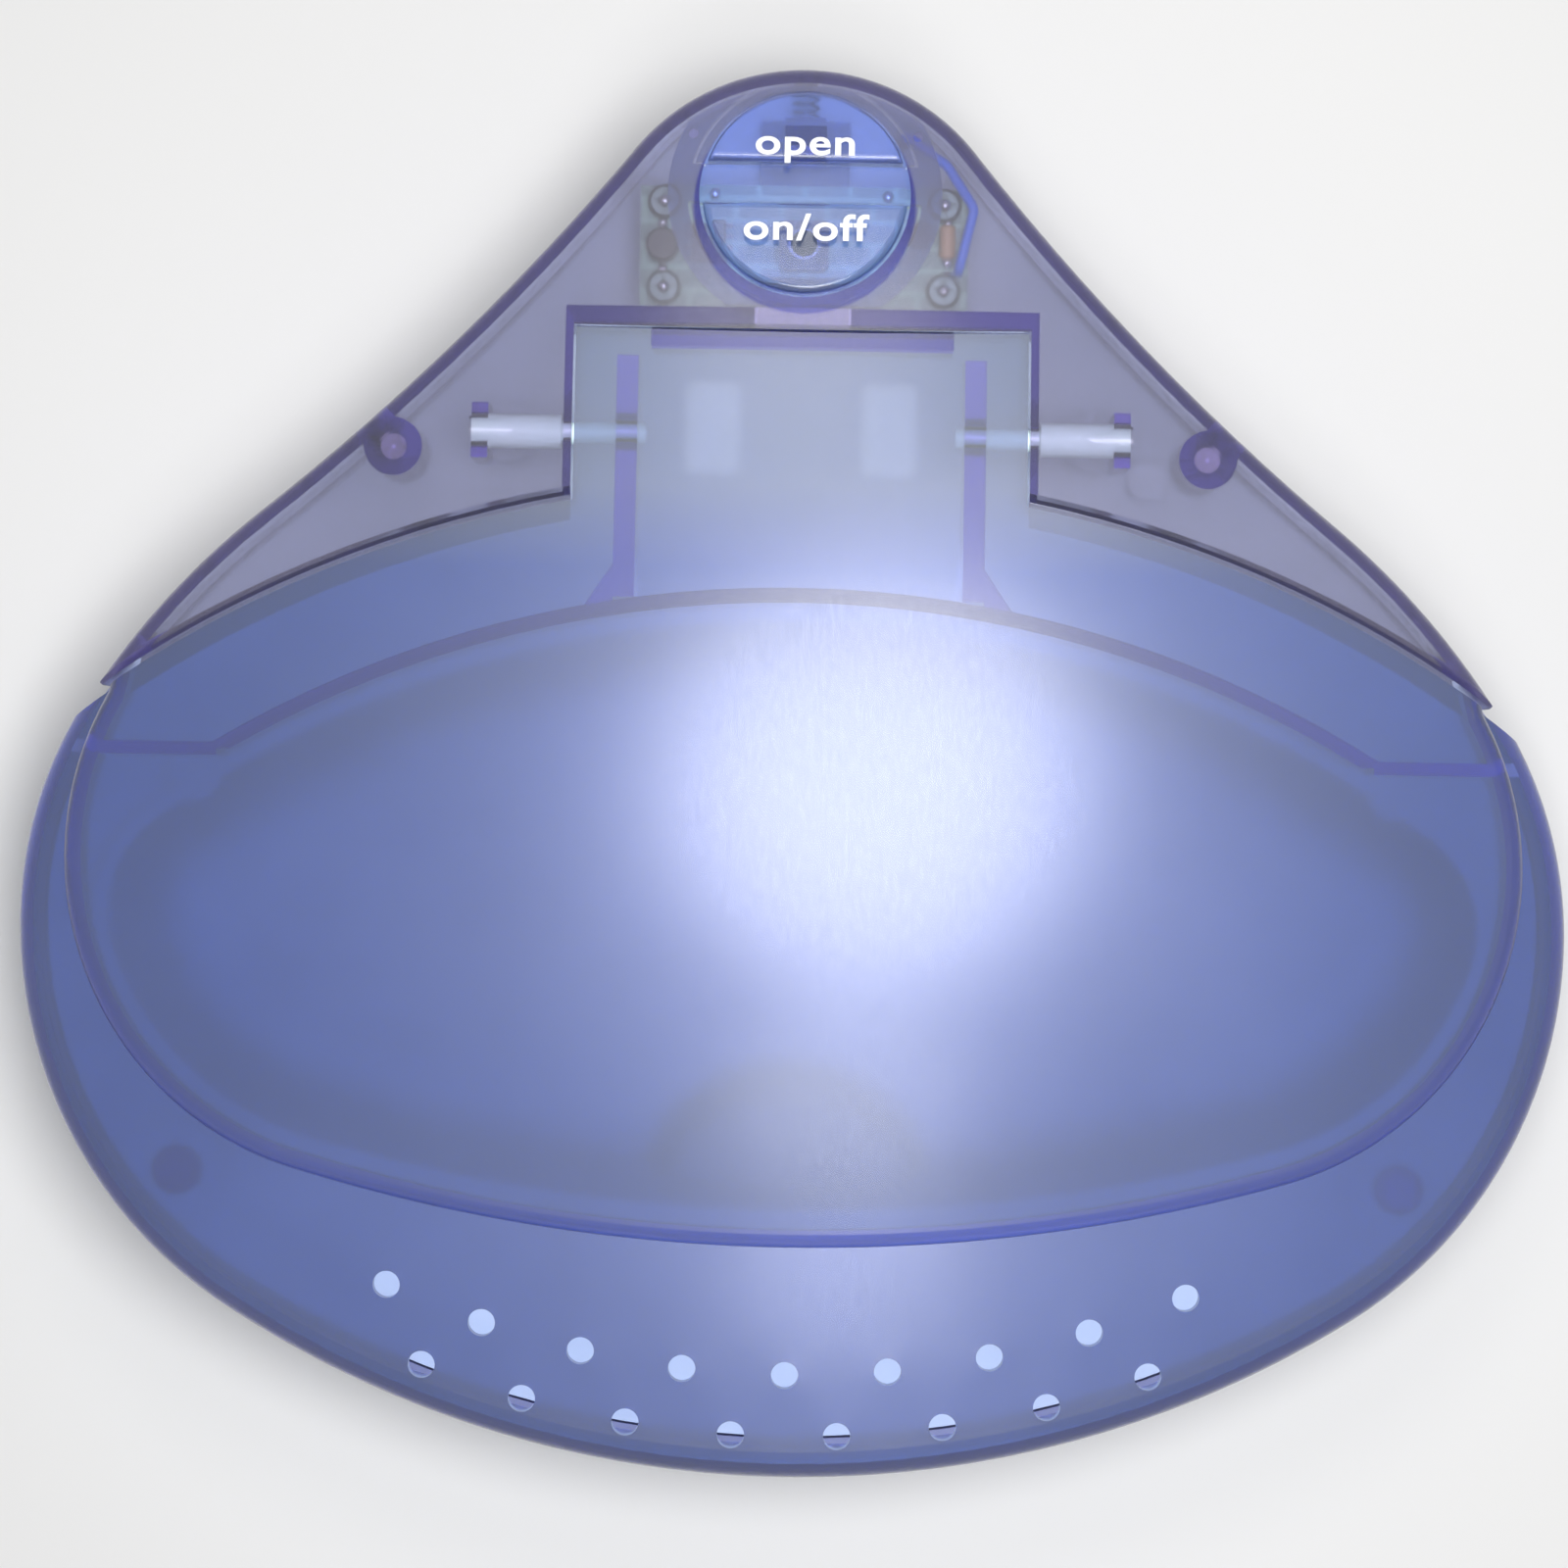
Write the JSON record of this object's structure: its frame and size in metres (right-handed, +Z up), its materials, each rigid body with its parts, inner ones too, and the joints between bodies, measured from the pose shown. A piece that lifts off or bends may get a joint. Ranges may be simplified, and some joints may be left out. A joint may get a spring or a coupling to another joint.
{
  "type": "eyeglass cleaner",
  "caption": "Frosted battery eyeglass cleaner: a basin with a nose rest under a hinged domed lid with drain holes, opened and started by a split round button",
  "frame": {"origin": "on the surface that the object stands on, under the middle of its outline", "axes": "+X to the right along the longest extent, +Y to the buttons at the rear, +Z up"},
  "size_m": [0.1904, 0.1712, 0.058],
  "materials": {
    "lid_plastic": "frosted translucent blue",
    "cover_plastic": "frosted translucent lavender",
    "housing_plastic": "frosted translucent violet blue",
    "basin_plastic": "satin translucent light blue",
    "key_plastic": "satin translucent blue with white marks",
    "steel": "bright steel",
    "pin_white": "white self-lubricating plastic",
    "board": "green board laminate",
    "dark_parts": "black moulded component",
    "tan_parts": "glazed component body",
    "rubber_grey": "soft grey rubber",
    "pad_foam": "pale soft pad",
    "cell_wrap": "plain dark cell wrap",
    "contact": "plated spring brass",
    "lead_red": "red insulated lead",
    "lead_black": "black insulated lead",
    "lead_blue": "blue insulated lead",
    "weight_metal": "sintered weight"
  },
  "bodies": {
    "root": {"lower_housing": "housing_plastic", "rear_cover": "cover_plastic", "basin": "basin_plastic", "nose_rest": "rubber_grey", "key_frame": "key_plastic", "latch_spring": "steel", "hinge_pins": "pin_white", "lid_stop_pads": "pad_foam", "circuit_board": "board", "board_screws": "steel", "switch_body": "dark_parts", "timer_chip": "dark_parts", "transistor": "dark_parts", "capacitor": "dark_parts", "resistor": "tan_parts", "deck_screws": "steel", "screw_caps": "key_plastic", "cover_screws": "steel", "base_screws": "steel", "bracket_screw": "steel", "motor_can": "steel", "motor_bracket": "steel", "motor_lead_red": "lead_red", "motor_lead_black": "lead_black", "battery_lead_blue": "lead_blue", "battery_front": "cell_wrap", "battery_rear": "cell_wrap", "battery_bridge": "contact", "battery_contacts": "contact", "foot_front_left": "rubber_grey", "foot_front_right": "rubber_grey", "foot_rear_left": "rubber_grey", "foot_rear_right": "rubber_grey"},
    "lid": {"lid": "lid_plastic"},
    "open_key": {"open_key": "key_plastic"},
    "power_key": {"power_key": "key_plastic", "switch_plunger": "dark_parts"},
    "latch": {"latch_slide": "key_plastic"},
    "rotor": {"motor_shaft": "steel", "eccentric_weight": "weight_metal"},
    "battery_door": {"battery_door": "housing_plastic"}
  },
  "joints": [
    {"name": "lid_hinge", "type": "hinge", "parent": "root", "child": "lid", "pos_m": [0, 0.0403, 0.0484], "axis": [-1, 0, 0], "range_deg": [0, 75]},
    {"name": "open_key_press", "type": "slide", "parent": "root", "child": "open_key", "axis": [0, 0, -1], "range_m": [0, 0.0012], "stiffness_N_per_m": 500},
    {"name": "latch_travel", "type": "slide", "parent": "root", "child": "latch", "axis": [0, 1, 0], "range_m": [0, 0.0012], "deforming": ["latch_spring"]},
    {"name": "power_key_press", "type": "slide", "parent": "root", "child": "power_key", "axis": [0, 0, -1], "range_m": [0, 0.0006], "stiffness_N_per_m": 1000},
    {"name": "motor_spin", "type": "hinge", "parent": "root", "child": "rotor", "pos_m": [0.031, 0.0252, 0.025], "axis": [1, 0, 0], "continuous": true},
    {"name": "battery_door_slide", "type": "slide", "parent": "root", "child": "battery_door", "axis": [0, -1, 0], "range_m": [0, 0.008]}
  ],
  "couplings": [
    {"joint": "latch_travel", "follows": "open_key_press", "ratio": 1}
  ]
}
